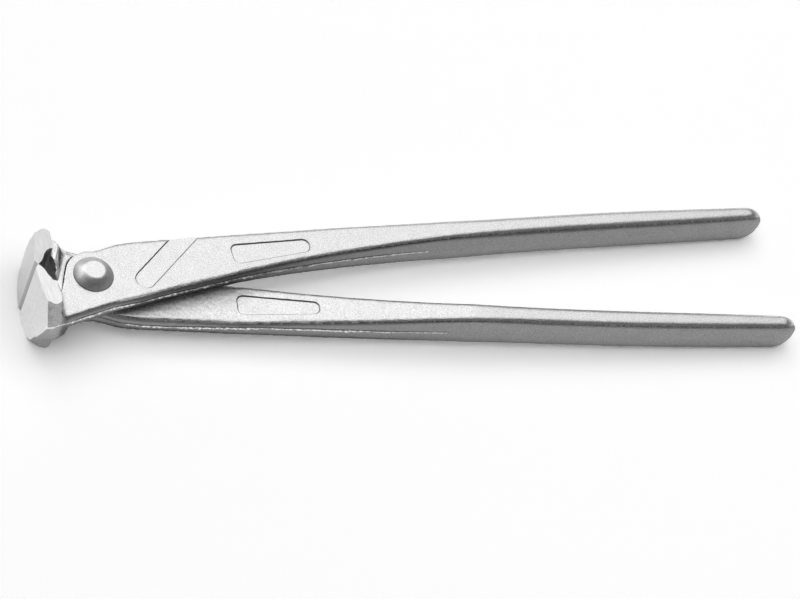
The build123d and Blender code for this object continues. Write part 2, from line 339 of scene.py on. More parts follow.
def edges_of(mesh):
    """Vertex pairs of all edges, and how many edges meet at each vertex."""
    pairs = np.empty(len(mesh.edges) * 2, dtype=np.int32)
    mesh.edges.foreach_get("vertices", pairs)
    pairs = pairs.reshape(-1, 2)
    degree = np.bincount(pairs.ravel(), minlength=len(mesh.vertices))
    return pairs, np.maximum(degree, 1)


def left_forged(p):
    """How freely the surface rounds: 1 on the forged skin, 0 at the eye and along the lap plane by
    the joint, and less on the grips, the small steps of the neck and the turned front of the cheek."""
    from_rivet = np.hypot(p[:, 0], p[:, 1])
    eye = smooth_step(*eye_across, p[:, 1]) * smooth_step(*eye_along, p[:, 0])
    joint = smooth_step(*lap_height, np.abs(p[:, 2])) * smooth_step(*lap_reach, from_rivet)
    neck = smooth_step(*neck_height, p[:, 2]) * smooth_step(*neck_along, p[:, 0]) * (p[:, 0] > jaw_back)
    cheek_front = smooth_step(*cheek_front_band, np.abs(from_rivet - joint_radius))
    cheek_front = cheek_front * (p[:, 2] > 0) * (p[:, 0] < cheek_front_end)
    grip = smooth_step(*grip_along, p[:, 0]) * smooth_step(*tip_along, p[:, 0])
    free = (1 - eye) * (1 - joint) * (1 - neck_held * neck) * (1 - cheek_held * cheek_front)
    return free * (1 - grip_held * grip)


for name, skin in skins.items():
    place = points_of(skin)
    edges, degree = edges_of(skin)
    weight = 0.5 * left_forged(turned(place, half_side[name]))[:, None]
    for step in range(rounding_steps):
        place = place + weight * (neighbour_mean(place, edges, degree) - place)
    place_points(skin, place)
    print(name, "rounded on", int((weight > 0.25).sum()), "of", len(place), "points")

# %% [markdown]
# The blasted, forged face is never quite flat. A sum of a few dozen sine waves in random
# directions gives a smooth unevenness a few hundredths of a millimetre deep, enough to make the
# light wander along the edges as it does on the real tool. The walls also get back the little that
# rounding took off their parting line, and the foot of each jaw and the upper half's neck get their
# full, round outlines. full_at lists places along the tool and how far the foot swells there, and
# each pair is again where a zone begins and where it is full.

# %% Forged unevenness
chance = np.random.default_rng(17)
unevenness = 0.020
wave_lengths = (1.2, 3.2)
blasting_loss = 0.03
wall_growth = 0.24
wall_facing, side_facing = (0.8, 0.3), (0.1, 0.6)
wall_start, wall_stop = (3, 8), (handle_reach - 2, handle_reach - 12)
jaw_side, foot_front, foot_down = -8, -9, (-9.0, -12.0)
neck_fullness = 0.9
neck_top, neck_foot = (-0.8, -2.8), (-11.0, -8.0)
neck_start, neck_stop = (-13.5, -9.5), (-3.5, -7.0)
full_at = {
    "upper_half": ((-16.5, -15.0, -13.2, -12.2, -11.0), (0.0, 0.25, 0.55, 0.45, 0.15)),
    "lower_half": ((-18.5, -17.2, -15.8, -14.4, -13.4, -12.6), (0.0, 0.15, 0.40, 0.15, 0.15, 0.0)),
}


def slow_waves(p, shortest, longest, count=36):
    """Smooth random field of about unit height: the sum of count sine waves whose directions and
    phases are drawn at random and whose lengths lie between shortest and longest, in mm."""
    heading = chance.normal(size=(count, 3))
    heading /= np.linalg.norm(heading, axis=1)[:, None]
    length = np.exp(chance.uniform(np.log(shortest), np.log(longest), count))
    phase = chance.uniform(0, 2 * np.pi, count)
    waves = np.sin(p @ (heading / length[:, None]).T * 2 * np.pi + phase)
    return waves.sum(axis=1) * math.sqrt(2 / count)


def outward(mesh):
    """Unit normal at each vertex."""
    flat = np.empty(len(mesh.vertices) * 3, dtype=np.float32)
    mesh.vertex_normals.foreach_get("vector", flat)
    return flat.reshape(-1, 3).astype(float)


for name, skin in skins.items():
    place = points_of(skin)
    home = turned(place, half_side[name])
    facing = outward(skin)
    on_wall = smooth_step(*wall_facing, np.abs(facing[:, 2])) * smooth_step(*wall_start, home[:, 0])
    on_wall *= smooth_step(*wall_stop, home[:, 0])
    height = unevenness * slow_waves(home, *wave_lengths) - blasting_loss + wall_growth * on_wall
    place += facing * (height * left_forged(home))[:, None]
    foot = smooth_step(*foot_down, home[:, 2]) * (home[:, 1] < jaw_side) * (home[:, 0] < foot_front)
    fullness = np.interp(home[:, 0], *full_at[name]) * foot
    if name == "upper_half":
        below_lap = smooth_step(*neck_top, home[:, 2]) * smooth_step(*neck_foot, home[:, 2])
        along_neck = smooth_step(*neck_start, home[:, 0]) * smooth_step(*neck_stop, home[:, 0])
        fullness = fullness + neck_fullness * below_lap * along_neck * (home[:, 1] < jaw_side)
    place[:, 1] -= half_side[name] * fullness * smooth_step(*side_facing, np.abs(facing[:, 1]))
    place_points(skin, place)
    print(name, "deepest hollow", round(float(height.min()), 3), "mm")

# %% [markdown]
# Where the two halves of the forging die meet, steel squeezes out as flash. Trimming leaves a low,
# rough line half-way up each wall. It is the brightest line on the tool's sides, because it stands
# out and catches light. It is made later as a thin bead along the wall, and its path is read here,
# from the rounded skin: at each station along X, the place where the wall stands out furthest.

# %% Where the trimmed flash runs
station = 0.25
mean_over = 9
wall_band = 0.7
wander_along = (10, 22, 34, 49, 65, 95, 120)
wander_up = (0.4, 0.6, 0.0, -0.8, -0.5, 0.4, 0.3)


def parting_height(x, wall=-1):
    """Height of the parting line: half-way between the outer face and the lap side. On the handle's
    outer wall, wall 1, it wanders by up to 0.8 mm."""
    wander = np.interp(x, wander_along, wander_up)
    return (cheek_thickness + underside(x)) / 2 + wander * (wall > 0)


def wall_line(p, start, stop, wall):
    """Outermost points of a wall near the parting line, one per station. Wall 1 is the handle's
    outer wall and -1 the wall of the jaw, neck and handle's inner side. A running mean over nine
    stations takes the quads' steps out."""
    near = np.abs(p[:, 2] - parting_height(p[:, 0], wall)) < wall_band
    p = p[near & (p[:, 0] > start) & (p[:, 0] < stop)]
    cell = np.floor((p[:, 0] - start) / (2 * station)).astype(int)
    order = np.lexsort((-wall * p[:, 1], cell))
    first = np.r_[True, np.diff(cell[order]) > 0]
    x, y = p[order[first], 0], p[order[first], 1]
    even_x = np.arange(x[0], x[-1], station)
    even_y = np.interp(even_x, x, y)
    padded = np.pad(even_y, mean_over // 2, mode="edge")
    mean = np.convolve(padded, np.full(mean_over, 1 / mean_over), mode="valid")
    return np.stack([even_x, mean, parting_height(even_x, wall)], axis=1)


inner_start = {"upper_half": -16.9, "lower_half": -13.0}
outer_start = 10.0
flash_end = 112.0
flash_paths = {}
for name, skin in skins.items():
    home = turned(points_of(skin), half_side[name])
    flash_paths[name] = (
        wall_line(home, inner_start[name], flash_end, -1), wall_line(home, outer_start, flash_end, 1),
    )
    print(name, "flash line of", [len(path) for path in flash_paths[name]], "stations")

# %% [markdown]
# Grinding is a cut, and a stone is the closed surface of what it takes: a rectangle carried along
# the arc of the jaw's front, two slabs at the jaw's ends, and a prism with the outline of chamfer,
# cutting edge and bevel. The upper half's jaw also loses the front corner of its foot, to a prism
# that leans. A boolean will take them from the rounded skin, which leaves edges as crisp as on the
# real ground faces.

# %% Grinding stones
beyond = 16.0
stone_thickness = 4
front_arc = (-25, 5)
corner_top = -9.0
corner_lean = 0.5
seam_chamfer = 1.3


def front_stone():
    """Everything outside the jaw's front cylinder: a rectangle carried round the arc."""
    turn = np.radians(np.linspace(*front_arc, 64))
    rings = []
    for depth, z in ((0, -beyond), (stone_thickness, -beyond), (stone_thickness, beyond), (0, beyond)):
        reach = front_radius + depth
        rings.append(np.stack([
            front_centre - reach * np.cos(turn), reach * np.sin(turn), np.full(len(turn), z),
        ], axis=1))
    return closed_rows(np.stack(rings, axis=1))


def corner_stone():
    """Takes the front corner off the foot of the jaw: a prism that leans away from the jaw above."""
    outline = np.array([(-24.0, -7.0), (-18.3, -9.1), (-16.5, -11.2), (-16.3, -24.0), (-24.0, -24.0)])
    rings = []
    for z in (-beyond, corner_top):
        aside = (z + jaw_half) * corner_lean
        rings.append(np.column_stack([outline - aside, np.full(len(outline), z)]))
    return closed_rows(rings)


def slab(outline, low, high):
    """Straight prism over an outline of X and Y, between two heights."""
    rings = [np.column_stack([outline, np.full(len(outline), z)]) for z in (low, high)]
    return closed_rows(rings)


jaw_ends = np.array([(-24.0, -22.0), (-8.0, -22.0), (-8.0, 5.0), (-24.0, 5.0)])
bevel_shares = np.array([
    (-0.895, -0.066), (-0.863, -0.126), (-0.826, -0.228), (-0.779, -0.299), (-0.717, -0.340),
])
edge_outline = np.array([
    (-24.0, 5.0), (-24.0, -seam_chamfer), (-nose_reach, -seam_chamfer), (-18.25, -0.05), (-18.05, -0.05),
    *(bevel_shares * [nose_reach, jaw_breadth]), (-13.62, 5.0),
])
stones = [
    front_stone(), slab(jaw_ends, jaw_half, beyond), slab(jaw_ends, -beyond, -jaw_half),
    slab(edge_outline, -beyond, beyond),
]
print("stones for both halves:", len(stones))

# %% [markdown]
# A stamp carries a round-cornered outline down into the steel with sloping walls, and it is taken
# away in the same way. Each half has cuts of its own: its stamps, and for the upper half the stone
# at the corner of the jaw's foot.

# %% Stamps
stamp_lift = 1.5


def round_outline(corners, radius, inset):
    """Outline with round corners, moved inward by inset: each corner is an arc of the radius less
    the inset about the point that lies one radius from both of its sides."""
    before = np.roll(corners, 1, axis=0) - corners
    after = np.roll(corners, -1, axis=0) - corners
    before /= np.linalg.norm(before, axis=1)[:, None]
    after /= np.linalg.norm(after, axis=1)[:, None]
    half = np.arccos((before * after).sum(axis=1)) / 2
    middle = before + after
    middle /= np.linalg.norm(middle, axis=1)[:, None]
    centre = corners + middle * (radius / np.sin(half))[:, None]
    winding = np.sign(before[:, 0] * after[:, 1] - before[:, 1] * after[:, 0])
    facing = np.arctan2(-middle[:, 1], -middle[:, 0])
    sweep = (np.pi / 2 - half)[:, None] * np.linspace(1, -1, 9) * winding[:, None]
    turn = facing[:, None] + sweep
    arc = np.stack([np.cos(turn), np.sin(turn)], axis=-1) * (radius - inset)
    return (centre[:, None, :] + arc).reshape(-1, 2)


def stamp(outline, radius, face, into):
    """Stamp for one recess. Its rings are the outline above the face, at the face, and on the
    floor, moved inward there by the depth. face is a point of the face and into points into the
    steel; the outline's X is measured from the face's point along the face."""
    along = np.cross([0, 1, 0], into)
    along = along * np.sign(along[0])
    rings = []
    start = np.array([face[0], 0, face[2]])
    for depth, inset in ((-stamp_lift, 0), (0, 0), (panel_depth, panel_depth)):
        xy = round_outline(outline - [face[0], 0], radius, inset)
        rings.append(start + xy[:, :1] * along + xy[:, 1:] * [0, 1, 0] + depth * np.array(into))
    return closed_rows(rings)


ramp_turn = math.atan(ramp_fall)
cheek_face = ((0, 0, cheek_thickness), (0, 0, -1))
ramp_face = ((lap_end, 0, lap_face), (math.sin(ramp_turn), 0, math.cos(ramp_turn)))
own_cuts = {
    "upper_half": [stamp(outline, radius, *cheek_face) for outline, radius in recesses["upper_half"]],
    "lower_half": [stamp(outline, radius, *ramp_face) for outline, radius in recesses["lower_half"]],
}
own_cuts["upper_half"].append(corner_stone())
print("cuts on each half:", {name: len(stones) + len(own_cuts[name]) for name in half_side})

# %% [markdown]
# The cuts are made one after another, so overlapping stones can't confuse the boolean. Each cut
# leaves its own flat or round face, and an edge is marked sharp wherever two faces meet at more
# than 38 degrees, so the ground faces stay crisp while the forged ones stay smooth. The marks are
# set here for the masks, which read the normals, and once more when the piece is made.

# %% Grind and stamp
sharpest_smooth = math.radians(38)


def cut(skin, name, cutters, side):
    """The skin less every cutter."""
    work = bpy.data.objects.new(name + "_work", skin)
    bpy.context.scene.collection.objects.link(work)
    tools = []
    for number, rows in enumerate(cutters):
        tool = bpy.data.objects.new(f"cutter_{number}", grid_mesh(f"cutter_{number}", turned(rows, side)))
        bpy.context.scene.collection.objects.link(tool)
        tools.append(tool)
        taken = work.modifiers.new(tool.name, "BOOLEAN")
        taken.operation = "DIFFERENCE"
        taken.solver = "MANIFOLD"
        taken.object = tool
    mesh = evaluated(work, skin.name)
    for tool in tools:
        bpy.data.meshes.remove(tool.data)
    return mesh


for name, side in half_side.items():
    before = len(skins[name].polygons)
    skins[name] = cut(skins[name], name, stones + own_cuts[name], side)
    skins[name].shade_smooth()
    skins[name].set_sharp_from_angle(angle=sharpest_smooth)
    print(name, "faces before and after:", before, len(skins[name].polygons))

# %% [markdown]
# The finish follows how each face was made, and painted light and shade are added to it. Four masks
# are kept with the mesh, one value for each face corner. "ground" is 1 on the stones' faces, and
# "stone" is the grey that each stone leaves, with painted light and shade by face and by half. "flank"
# rises from 0 on the level, blasted faces to 1 on the walls, where the blast only grazes and the
# forging's grey skin stays, and "skin" is the grey of that skin with painted shade on it: painted shade
# makes it darkest along the edges and darker by the joint, and painted light makes it paler on the
# grips and on the jaw's side.

# %% How a mask is stored


def corner_values(mesh, name, values):
    """Stores one value for each face corner."""
    mask = mesh.attributes.new(name, "FLOAT", "CORNER")
    mask.data.foreach_set("value", values.astype(np.float32))


def face_arrays(mesh):
    """Middle of each face in millimetres, and how many corners it has."""
    flat = np.empty(len(mesh.polygons) * 3)
    mesh.polygons.foreach_get("center", flat)
    corners = np.empty(len(mesh.polygons), dtype=np.int32)
    mesh.polygons.foreach_get("loop_total", corners)
    return (flat.reshape(-1, 3) - rivet_centre) / millimetre, corners


print("a mask has one value for each face corner")

# %% [markdown]
# The greys were tried out against the photograph. Each half has its own set for the stones, which
# is painted light and shade: the far jaw's ground faces are given darker greys. The skin's grey is a
# base level with changes to it, each a share that fades in over a zone, and these changes are painted
# light and shade. Each pair below is where a zone begins and where it is full.

# %% Greys that grinding and forging leave
on_stone = 0.02
chamfer_back = -18.1
# Painted light and shade: each ground face and each half has its own grey.
stone_greys_lit_and_shaded = {1: (0.72, 0.88, 0.80, 0.84), -1: (0.59, 0.60, 0.40, 0.80)}
# The walls' base grey is part forging skin and part painted shade. The lifts on the grips and on the jaw's
# side are painted light.
wall_grey_skin_and_shade, grip_painted_lift, jaw_side_painted_lift = 0.285, 0.02, 0.15
# Painted shade: a dark band along the rounded edges, below the face.
edge_shade_grey, edge_shade_grip = 0.14, 0.07
# Painted shade at the foot of the wall, in the hollow by the jaw and in the furrow beside the flash.
foot_shade, hollow_shade, furrow_shade = 0.40, 0.35, 0.60
grips_along = (85, 135)
jaw_along = (-10.2, -12.4)
edge_shade_depth, edge_shade_thins_on_grips, edge_shade_along = (2.1, 1.1), (1.1, 0.8), (-11.6, -10.2)
foot_shade_height = (4.5, 0.3)
foot_shade_along = (-2, 10)
hollow_back, hollow_front = (-12.4, -11.2), (-8.8, -10.0)
hollow_height = (0.5, 3.5)
furrow_top, furrow_foot = (1.1, 0.7), (0.0, 0.3)
furrow_along, furrow_end = (-9, -5), (118, 90)


def stone_grey_lit_and_shaded(home, front, side):
    """Grey of the ground faces, with painted light and shade that differ by half and by face: on the
    jaw's end, its front, the chamfer at the seam, and the bevel and eye behind the cutting edge. front
    is the depth below the jaw's front cylinder."""
    end_grey, front_grey, chamfer_grey, bevel_grey = stone_greys_lit_and_shaded[side]
    grey = np.where(front < on_stone, front_grey, bevel_grey)
    on_chamfer = (home[:, 1] > -seam_chamfer) & (home[:, 0] < chamfer_back) & (front > on_stone)
    grey = np.where(on_chamfer, chamfer_grey, grey)
    return np.where(jaw_half - np.abs(home[:, 2]) < on_stone, end_grey, grey)


def skin_grey_with_shade(home, side):
    """Grey of the forging's skin with painted light and shade: a base, part skin and part painted
    shade, that painted light raises towards the grips and on the jaw's side, mixed with a painted dark
    edge band that fades out 2.1 mm below the face, or 1 mm on the grips. Painted shade makes it darker
    towards the foot of the wall, in the hollow where the jaw meets the cheek, and in the narrow
    furrow beside the flash."""
    x, y, z = home.T
    grips = smooth_step(*grips_along, x)
    # Painted light: the base rises towards the grips and on the jaw's side.
    base = wall_grey_skin_and_shade + grip_painted_lift * grips + jaw_side_painted_lift * smooth_step(*jaw_along, x)
    below = np.minimum(cheek_thickness - z, z - underside(x))
    # Painted shade along the edges: a dark band that fades out below the face.
    shade_start, shade_full = (depth - grip * grips for depth, grip in zip(edge_shade_depth, edge_shade_thins_on_grips))
    edge_shade = smooth_step(shade_start, shade_full, below) * smooth_step(*edge_shade_along, x)
    grey = base + (edge_shade_grey + edge_shade_grip * grips - base) * edge_shade
    above_foot = z - underside(x) if side > 0 else cheek_thickness - z
    # Painted shade towards the foot of the wall.
    grey *= 1 - foot_shade * smooth_step(*foot_shade_height, above_foot) * smooth_step(*foot_shade_along, x)
    # Painted shade in the hollow where the jaw meets the cheek.
    hollow = smooth_step(*hollow_back, x) * smooth_step(*hollow_front, x) * (y < jaw_side)
    grey *= 1 - hollow_shade * hollow * smooth_step(*hollow_height, z)
    # Painted shade in the narrow furrow beside the flash.
    beside = (z - parting_height(x, -side)) * side
    flash_furrow_shade = smooth_step(*furrow_top, beside) * smooth_step(*furrow_foot, beside)
    flash_furrow_shade = flash_furrow_shade * smooth_step(*furrow_along, x)
    return grey * (1 - furrow_shade * flash_furrow_shade * smooth_step(*furrow_end, x))


print("greys of the stones:", stone_greys_lit_and_shaded)

# %% [markdown]
# Which face is which is read from where it lies and how it stands: ground faces lie on a stone's
# surface, walls stand upright, and the walls of a recess lie within its outline.

# %% Masks for the finishes
# Painted shade: the walls of the stamped recesses are given a dark grey.
recess_wall_shade_grey = 0.30
ground_jaw = jaw_back + 0.1
ground_end = -8
bevel_back = -10.4
bevel_side = -6.3
# Painted shade: the upper half's jaw front grows darker towards its top.
front_top_shade = 0.20
front_top_shade_height = (-4, jaw_half)
wall_upright = (0.82, 0.54)
recess_upright = 0.85

for name, side in half_side.items():
    skin = skins[name]
    centre, corners = face_arrays(skin)
    home = turned(centre, side)
    facing = np.empty(len(skin.loops) * 3, dtype=np.float32)
    skin.corner_normals.foreach_get("vector", facing)
    upright = np.abs(facing.reshape(-1, 3)[:, 2])
    front = front_radius - np.hypot(home[:, 0] - front_centre, home[:, 1])
    at_end = jaw_half - np.abs(home[:, 2])
    ground = (home[:, 0] < ground_jaw) & (front < on_stone)
    ground |= (home[:, 0] < ground_end) & (at_end < on_stone)
    ground |= (home[:, 0] < bevel_back) & (home[:, 1] > bevel_side) & (front > on_stone)
    corner_values(skin, "ground", np.repeat(ground, corners))
    vertex = np.empty(len(skin.loops), dtype=np.int32)
    skin.loops.foreach_get("vertex_index", vertex)
    height = turned(points_of(skin), side)[vertex, 2]
    # Painted shade: the upper half's jaw front grows darker towards its top.
    front_top_shade_share = np.repeat(front < on_stone, corners) * smooth_step(*front_top_shade_height, height) * (side > 0)
    stone = np.repeat(stone_grey_lit_and_shaded(home, front, side), corners) * (1 - front_top_shade * front_top_shade_share)
    corner_values(skin, "stone", stone)
    flank = smooth_step(*wall_upright, upright)
    grey = np.repeat(skin_grey_with_shade(home, side), corners)
    for outline, radius in recesses[name]:
        beyond_side = np.repeat(beyond_outline(home[:, :2], outline), corners)
        recess_wall = (beyond_side < on_stone) & (beyond_side > -radius) & (upright < recess_upright)
        flank = np.where(recess_wall, 1.0, flank)
        # Painted shade on the recess walls.
        grey = np.where(recess_wall, recess_wall_shade_grey, grey)
    corner_values(skin, "flank", flank)
    corner_values(skin, "skin", grey)
    print(name, "ground faces:", int(ground.sum()))

# %% [markdown]
# The finished skins take over from the plain CAD pieces, which are hidden: each rides on its own
# body, upper or lower.

# %% Put the skins on the bodies
body_of_half = {"upper_half": "upper", "lower_half": "lower"}
halves = {}
for name, skin in skins.items():
    half = add_piece("forged_" + name, skin)
    skin.set_sharp_from_angle(angle=sharpest_smooth)
    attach(half, body_of_half[name])
    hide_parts(name)
    halves[name] = half
    print(half.name, "rides on", body_of_half[name])

# %% [markdown]
# The flash bead is a small wedge profile carried along the path found above, half sunk in the wall.
# Its height and width wander, because trimming tears the flash off unevenly. It is full along the
# jaw, the neck and the joint, where the die halves met over a wide face, and dies out on the grips.

# %% Trimmed flash
bead_sunk = 0.15
bead_width = 0.62
bead_proud = 0.20
bead_across = np.array([-1.0, 0.2, 1.0, 0.8, -1.0])
bead_up = np.array([0.50, 0.50, -0.40, -0.50, -0.50])
bead_full_to = 66.0
bead_gone_at = 108.0
bead_lost = 0.9
height_closes, width_closes = 0.6, 0.3
bead_sharp = math.radians(30)
lift_height = 0.05
torn_waves, tooth_waves = (5.0, 16.0), (0.7, 2.4)
width_waves, lift_waves = (0.9, 3.0), (3.0, 9.0)


def flash_bead(path, wall, full_to, gone_at):
    """Rows of a wedge-shaped ring per station. The wedge's face leans back by about 16 degrees, as
    the trimming tool leaves it. Its height and width are multiplied by slow waves, and by a share
    that falls from 1 at full_to to 0.1 at gone_at and closes at both ends."""
    along = np.gradient(path[:, :2], axis=0)
    along /= np.linalg.norm(along, axis=1)[:, None]
    out = np.stack([-along[:, 1], along[:, 0]], axis=1) * wall
    x = path[:, 0]
    ends = np.minimum(x - x[0], x[-1] - x)
    share = (1 - bead_lost * smooth_step(full_to, gone_at, x)) * smooth_step(0, height_closes, ends)
    torn_off = np.clip(0.8 + 0.5 * slow_waves(path, *torn_waves), 0.1, 1.2)
    proud = bead_proud * np.clip(1 + 0.5 * slow_waves(path, *tooth_waves), 0.1, 2) * share * torn_off
    width = bead_width * np.clip(1 + 0.25 * slow_waves(path, *width_waves), 0.5, 1.5)
    width *= 0.4 + 0.6 * share * torn_off
    width *= smooth_step(0, width_closes, ends)
    lift = lift_height * slow_waves(path, *lift_waves)
    across = np.where(bead_across > 0, bead_across * proud[:, None], bead_sunk * bead_across)
    up = lift[:, None] - wall * width[:, None] * bead_up
    return np.stack([
        path[:, None, 0] + across * out[:, None, 0],
        path[:, None, 1] + across * out[:, None, 1],
        path[:, None, 2] + up,
    ], axis=-1)


flash = []
for name, side in half_side.items():
    inner_path, outer_path = flash_paths[name]
    for label, path, wall in (("inner", inner_path, -1), ("outer", outer_path, 1)):
        rows = closed_rows(flash_bead(path, wall, bead_full_to, bead_gone_at))
        bead = add_piece(f"{label}_flash_of_{name}", grid_mesh("flash", turned(rows, side)))
        bead.data.set_sharp_from_angle(angle=bead_sharp)
        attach(bead, body_of_half[name])
        flash.append(bead)
        print(bead.name, "stations:", len(rows))

# %% [markdown]
# The rivet is pressed: a shank with two round heads whose tops are flat. A profile carried round an
# axis is the plainest surface there is. Each head is a low cone that bulges a little between its rim
# and its flat top. A superellipse draws that with one number: power 1 is a straight cone, power 2 an
# ellipse, and the rivet lies in between.

# %% Rivet
upper_seat = 6.63
lower_seat = 6.6
head_height = 2.8
head_radius = 6.2
top_radius = 2.95
head_power = 1.28
shank_radius = 4.0
rivet_turns = np.linspace(0, 2 * np.pi, 180, endpoint=False)
rivet_sharp = math.radians(60)


def head_profile(seat):
    """Radius and height of a head from rim to middle. Between rim and flat top, radius share to the
    power n plus height share to the power n is 1; the flat top then runs in to the axis."""
    t = np.linspace(0, np.pi / 2, 30)
    radius = top_radius + (head_radius - top_radius) * np.cos(t) ** (2 / head_power)
    height = seat + head_height * np.sin(t) ** (2 / head_power)
    flat = np.linspace(top_radius, 0, 8)[1:]
    return np.vstack([
        np.stack([radius, height], axis=1),
        np.stack([flat, np.full(len(flat), seat + head_height)], axis=1),
    ])


shank = np.array([(shank_radius, -lower_seat), (shank_radius, upper_seat)])
profile = np.vstack([head_profile(lower_seat)[::-1] * [1, -1], shank, head_profile(upper_seat)])
rivet_rows = np.stack([
    profile[:, :1] * np.cos(rivet_turns), profile[:, :1] * np.sin(rivet_turns),
    np.repeat(profile[:, 1:], len(rivet_turns), axis=1),
], axis=-1)
rivet = add_piece("pressed_rivet", grid_mesh("pressed_rivet", rivet_rows))
rivet.data.set_sharp_from_angle(angle=rivet_sharp)
print("rivet grid:", rivet_rows.shape[:2])

# %% [markdown]
# The flat tops of the heads keep the steel's own grey. Their sloping sides are darker, and darkest is
# the narrow corner between head and cheek, both painted shade. The rivet gets one mask for all three,
# its grey. It rides on the lower half, which holds it fast.

# %% Mask and body of the rivet
top_grey = 0.86
# Painted shade: darker on the heads' sloping sides, darkest at the rim by the cheek.
slope_shade = 0.24
rim_shade = 0.5
slope_upright = (0.97, 0.80)
rim_height = (0.5, 0.1)
rivet_facing = np.empty(len(rivet.data.loops) * 3, dtype=np.float32)
rivet.data.corner_normals.foreach_get("vector", rivet_facing)
sloping = smooth_step(*slope_upright, np.abs(rivet_facing.reshape(-1, 3)[:, 2]))
rivet_middle, rivet_corners = face_arrays(rivet.data)
rim_shade_share = np.repeat(smooth_step(*rim_height, np.abs(rivet_middle[:, 2]) - cheek_thickness), rivet_corners)
# Painted shade on the sloping sides and at the rim.
corner_values(rivet.data, "skin", (top_grey - slope_shade * sloping) * (1 - rim_shade * rim_shade_share))
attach(rivet, "lower")
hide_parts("rivet")
print("rivet's sloping corners:", int((sloping > 0.5).sum()))

# %% [markdown]
# Materials are small node trees on Object coordinates, so the pattern sits in the steel and stays
# there in every pose. The helpers add one node each and return its output.

# %% Node helpers


def new_material(name):
    """Empty material with one metal shader on its output."""
    material = bpy.data.materials.new(name)
    material.use_nodes = True
    tree = material.node_tree
    tree.nodes.clear()
    out = tree.nodes.new("ShaderNodeOutputMaterial")
    shader = tree.nodes.new("ShaderNodeBsdfPrincipled")
    shader.inputs["Metallic"].default_value = 1.0
    tree.links.new(shader.outputs["BSDF"], out.inputs["Surface"])
    return material, tree, shader


def add_noise(tree, coordinates, scale, detail, roughness=0.5):
    """Noise texture on the given coordinates."""
    node = tree.nodes.new("ShaderNodeTexNoise")
    node.inputs["Scale"].default_value = scale
    node.inputs["Detail"].default_value = detail
    node.inputs["Roughness"].default_value = roughness
    tree.links.new(coordinates, node.inputs["Vector"])
    return node.outputs["Fac"]


def add_range(tree, value, low, high, to_low, to_high):
    """Maps low..high onto to_low..to_high, held at the ends."""
    node = tree.nodes.new("ShaderNodeMapRange")
    node.inputs["From Min"].default_value = low
    node.inputs["From Max"].default_value = high
    node.inputs["To Min"].default_value = to_low
    node.inputs["To Max"].default_value = to_high
    tree.links.new(value, node.inputs["Value"])
    return node.outputs["Result"]


def add_mix(tree, share, first, second):
    """Plain mix of two values by a share."""
    node = tree.nodes.new("ShaderNodeMix")
    node.data_type = "FLOAT"
    tree.links.new(share, node.inputs["Factor"])
    tree.links.new(first, node.inputs["A"])
    tree.links.new(second, node.inputs["B"])
    return node.outputs["Result"]


def add_math(tree, operation, first, second):
    """One sum of two values, either of which may be a plain number."""
    node = tree.nodes.new("ShaderNodeMath")
    node.operation = operation
    for socket, value in zip(node.inputs, (first, second)):
        if isinstance(value, (int, float)):
            socket.default_value = value
        else:
            tree.links.new(value, socket)
    return node.outputs["Value"]


def add_mask(tree, name):
    """One of the mesh's own masks."""
    node = tree.nodes.new("ShaderNodeAttribute")
    node.attribute_name = name
    return node.outputs["Fac"]


def finish_surface(tree, shader, grey, rough, height):
    """Joins a grey level, a roughness and a bump height in tenths of a millimetre to the shader."""
    colour = tree.nodes.new("ShaderNodeCombineColor")
    for socket in colour.inputs[:3]:
        tree.links.new(grey, socket)
    tree.links.new(colour.outputs["Color"], shader.inputs["Base Color"])
    tree.links.new(rough, shader.inputs["Roughness"])
    bump = tree.nodes.new("ShaderNodeBump")
    bump.inputs["Strength"].default_value = 1.0
    bump.inputs["Distance"].default_value = 0.1 * millimetre
    tree.links.new(height, bump.inputs["Height"])
    tree.links.new(bump.outputs["Normal"], shader.inputs["Normal"])


print("bump heights are in tenths of a millimetre")

# %% [markdown]
# Forged steel after blasting is a satin, nearly white grey with a fine orange peel: shallow pits
# less than half a millimetre wide, bumped in and darker inside with painted shade. On the walls
# the grey skin of the forging stays, so they are darker and duller, with painted shade added, and the
# line between the two is ragged. Where the stones have been, the steel is cleaner and carries fine
# parallel scratches. The three looks are mixed by the mesh's masks. A scale is how many noise cells
# lie in a metre, so 2500 is a cell of 0.4 mm.

# %% Forged and ground steel
blasted_grey = 0.95
pit_shade_grey = 0.57
peel_scale = 2500.0
grain_scale = 4600.0
cloud_scale = 260.0
scratch_scale = 4200.0
ragged_scale = 1200.0
scratch_turn = math.radians(35)
scratch_stretch = (1.0, 0.05, 1.0)


